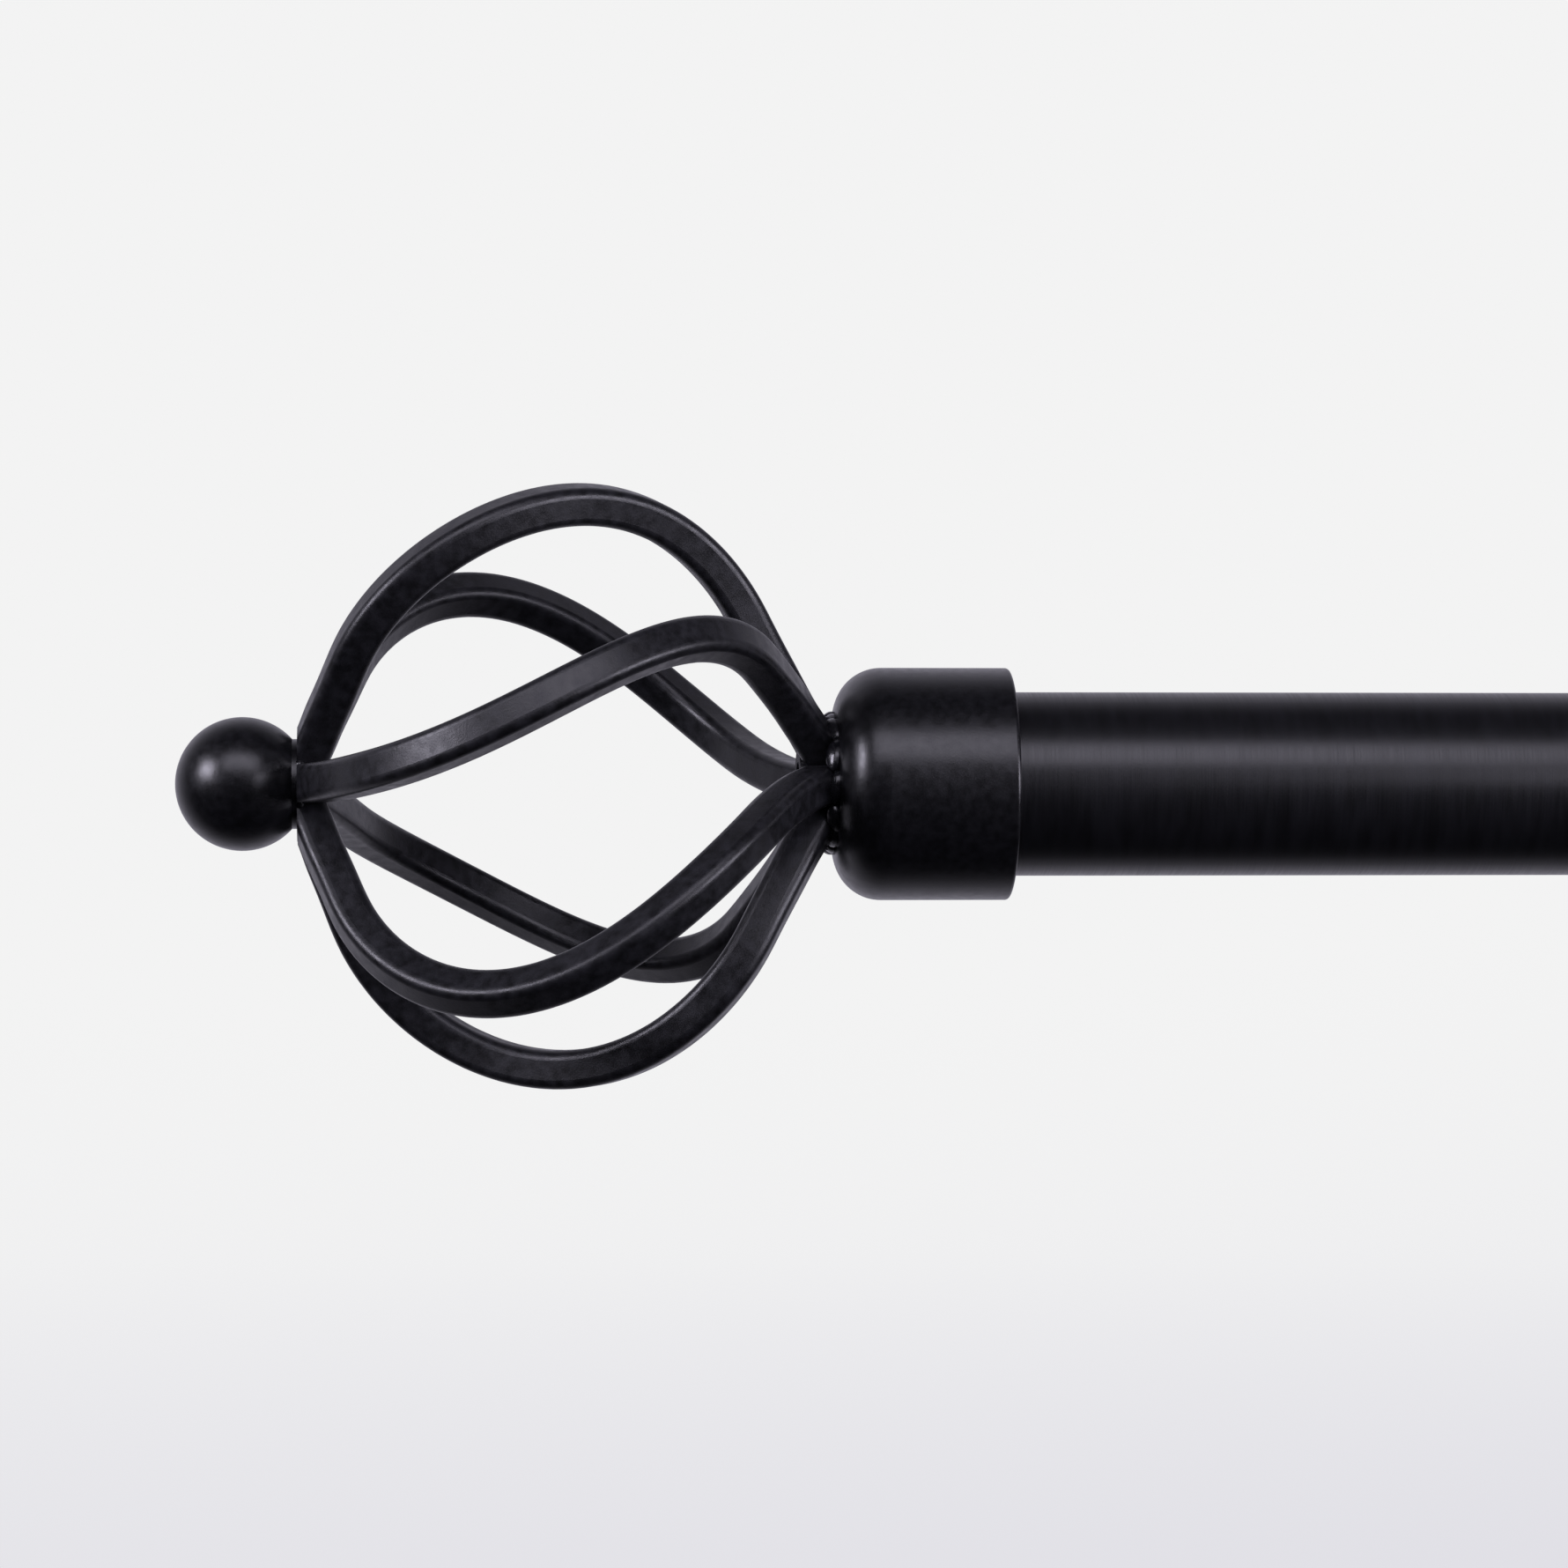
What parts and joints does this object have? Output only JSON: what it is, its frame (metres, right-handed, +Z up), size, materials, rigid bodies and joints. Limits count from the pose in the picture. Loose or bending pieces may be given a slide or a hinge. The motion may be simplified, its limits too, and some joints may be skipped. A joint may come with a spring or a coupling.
{
  "type": "curtain rod with brackets",
  "caption": "Telescoping black curtain rod on two wall brackets, with a twisted square-bar birdcage finial and ball tip at each end.",
  "frame": {"origin": "centre of the left wall plate's back face, on the wall", "axes": "+X along the rod from the left bracket to the right one, +Y into the wall, +Z up; the rod's axis is 88.9 mm in front of the wall"},
  "size_m": [0.9037, 0.1294, 0.0838],
  "materials": {
    "satin_black_iron": "satin black powder coat",
    "satin_black_tube": "satin black lacquer over circumferentially brushed steel tube",
    "black_oxide_steel": "black oxide",
    "zinc_plated_steel": "bright zinc plate",
    "black_nylon": "moulded nylon"
  },
  "bodies": {
    "wall_fixings": {"left_wall_plate": "satin_black_iron", "left_arm_socket": "satin_black_iron", "right_wall_plate": "satin_black_iron", "right_arm_socket": "satin_black_iron"},
    "left_arm": {"left_arm": "satin_black_iron", "left_cradle": "satin_black_iron", "left_cradle_screw": "zinc_plated_steel"},
    "right_arm": {"right_arm": "satin_black_iron", "right_cradle": "satin_black_iron", "right_cradle_screw": "zinc_plated_steel"},
    "left_lock_screw": {"left_arm_lock_screw": "satin_black_iron"},
    "right_lock_screw": {"right_arm_lock_screw": "satin_black_iron"},
    "left_clamp_screw": {"left_rod_clamp_screw": "satin_black_iron"},
    "right_clamp_screw": {"right_rod_clamp_screw": "satin_black_iron"},
    "outer_rod": {"outer_tube": "satin_black_tube", "mouth_ring": "black_nylon"},
    "inner_rod": {"inner_tube": "satin_black_tube", "inner_tube_glide_plug": "black_nylon"},
    "left_finial": {"left_finial_cup": "satin_black_iron", "left_cage_nut": "zinc_plated_steel", "left_cage_screw": "zinc_plated_steel", "left_cage_bar_1": "satin_black_iron", "left_cage_bar_2": "satin_black_iron", "left_cage_bar_3": "satin_black_iron", "left_cage_bar_4": "satin_black_iron", "left_cage_bar_5": "satin_black_iron", "left_cage_bar_6": "satin_black_iron", "left_ball_stud": "zinc_plated_steel", "left_tip_ball": "satin_black_iron"},
    "right_finial": {"right_finial_cup": "satin_black_iron", "right_cage_nut": "zinc_plated_steel", "right_cage_screw": "zinc_plated_steel", "right_cage_bar_1": "satin_black_iron", "right_cage_bar_2": "satin_black_iron", "right_cage_bar_3": "satin_black_iron", "right_cage_bar_4": "satin_black_iron", "right_cage_bar_5": "satin_black_iron", "right_cage_bar_6": "satin_black_iron", "right_ball_stud": "zinc_plated_steel", "right_tip_ball": "satin_black_iron", "right_reducer_sleeve": "black_nylon"},
    "left_set_screw": {"left_set_screw": "black_oxide_steel"},
    "right_set_screw": {"right_set_screw": "black_oxide_steel"}
  },
  "joints": [
    {"name": "left_arm_projection", "type": "slide", "parent": "wall_fixings", "child": "left_arm", "axis": [0, -1, 0], "range_m": [-0.0127, 0.0127]},
    {"name": "right_arm_projection", "type": "slide", "parent": "wall_fixings", "child": "right_arm", "axis": [0, -1, 0], "range_m": [-0.0127, 0.0127]},
    {"name": "left_lock_screw_back_off", "type": "slide", "parent": "wall_fixings", "child": "left_lock_screw", "axis": [0, 0, 1], "range_m": [0, 0.005]},
    {"name": "right_lock_screw_back_off", "type": "slide", "parent": "wall_fixings", "child": "right_lock_screw", "axis": [0, 0, 1], "range_m": [0, 0.005]},
    {"name": "left_clamp_screw_back_off", "type": "slide", "parent": "left_arm", "child": "left_clamp_screw", "axis": [0, -1, 0], "range_m": [0, 0.005]},
    {"name": "right_clamp_screw_back_off", "type": "slide", "parent": "right_arm", "child": "right_clamp_screw", "axis": [0, -1, 0], "range_m": [0, 0.005]},
    {"name": "rod_lift_out", "type": "slide", "parent": "left_arm", "child": "outer_rod", "axis": [0, 0, 1], "range_m": [0, 0.05]},
    {"name": "rod_extension", "type": "slide", "parent": "outer_rod", "child": "inner_rod", "axis": [1, 0, 0], "range_m": [0, 0.508]},
    {"name": "left_finial_pull_off", "type": "slide", "parent": "outer_rod", "child": "left_finial", "axis": [-1, 0, 0], "range_m": [0, 0.03]},
    {"name": "right_finial_pull_off", "type": "slide", "parent": "inner_rod", "child": "right_finial", "axis": [1, 0, 0], "range_m": [0, 0.03]},
    {"name": "left_set_screw_back_off", "type": "slide", "parent": "left_finial", "child": "left_set_screw", "axis": [0, 1, 0], "range_m": [0, 0.0025]},
    {"name": "right_set_screw_back_off", "type": "slide", "parent": "right_finial", "child": "right_set_screw", "axis": [0, 1, 0], "range_m": [0, 0.0025]}
  ],
  "couplings": [
    {"joint": "right_arm_projection", "follows": "left_arm_projection", "ratio": 1}
  ]
}
